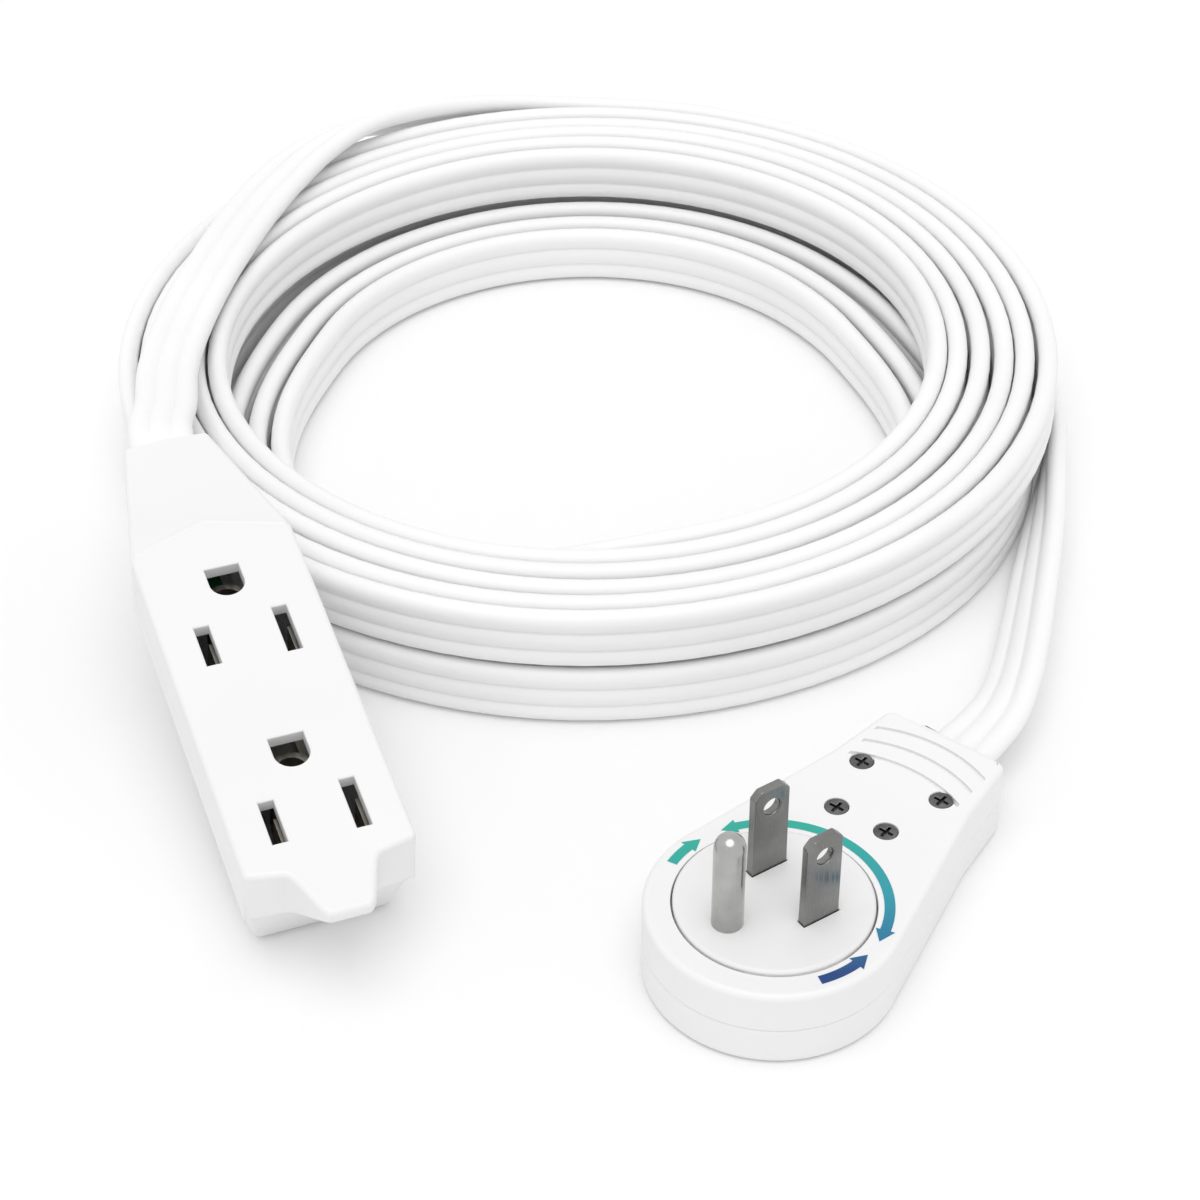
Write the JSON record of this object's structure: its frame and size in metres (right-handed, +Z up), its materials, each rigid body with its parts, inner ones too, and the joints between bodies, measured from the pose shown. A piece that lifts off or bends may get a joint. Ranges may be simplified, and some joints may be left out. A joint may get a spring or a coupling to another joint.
{
  "type": "extension cord",
  "caption": "Flat three-conductor extension cord, wound in two layers, with a grounded outlet block at one end and a flat rotating grounded plug at the other.",
  "frame": {"origin": "under the middle of the outlet block, on the surface that the cord lies on", "axes": "+Y along the outlet block toward its cord, +Z up; the block leans back with its cord neck raised on the coil"},
  "size_m": [0.182, 0.2491, 0.0337],
  "materials": {
    "shell_white": "satin",
    "rotor_white": "satin",
    "inner_plastic": "matte",
    "cord_jacket": "satin",
    "prong_nickel": "polished",
    "screw_steel": "satin",
    "contact_brass": "satin",
    "wire_black": "satin",
    "wire_white": "satin",
    "wire_green": "satin"
  },
  "bodies": {
    "cord_set": {"outlet_top_shell": "shell_white", "outlet_bottom_shell": "shell_white", "outlet_line_bus": "contact_brass", "outlet_neutral_bus": "contact_brass", "outlet_ground_bus": "contact_brass", "outlet_cord_grip": "inner_plastic", "outlet_line_wire": "wire_black", "outlet_neutral_wire": "wire_white", "outlet_ground_wire": "wire_green", "cord_lead_outlet": "cord_jacket", "cord_coil": "cord_jacket", "cord_lead_plug": "cord_jacket", "plug_back_shell": "shell_white", "plug_face_shell": "shell_white", "plug_screws": "screw_steel", "plug_cord_collar": "shell_white", "plug_cord_clamp": "inner_plastic", "line_brush": "contact_brass", "neutral_brush": "contact_brass", "ground_brush": "contact_brass", "plug_line_wire": "wire_black", "plug_neutral_wire": "wire_white", "plug_ground_wire": "wire_green"},
    "rotor": {"rotor_disc": "rotor_white", "rotor_base": "rotor_white", "line_blade": "prong_nickel", "neutral_blade": "prong_nickel", "ground_pin": "prong_nickel", "line_ring": "contact_brass", "neutral_ring": "contact_brass", "ground_ring": "contact_brass"}
  },
  "joints": [
    {"name": "rotor_spin", "type": "hinge", "parent": "cord_set", "child": "rotor", "pos_m": [0.06, -0.0671, 0.0068], "axis": [0, 0, 1], "continuous": true}
  ]
}
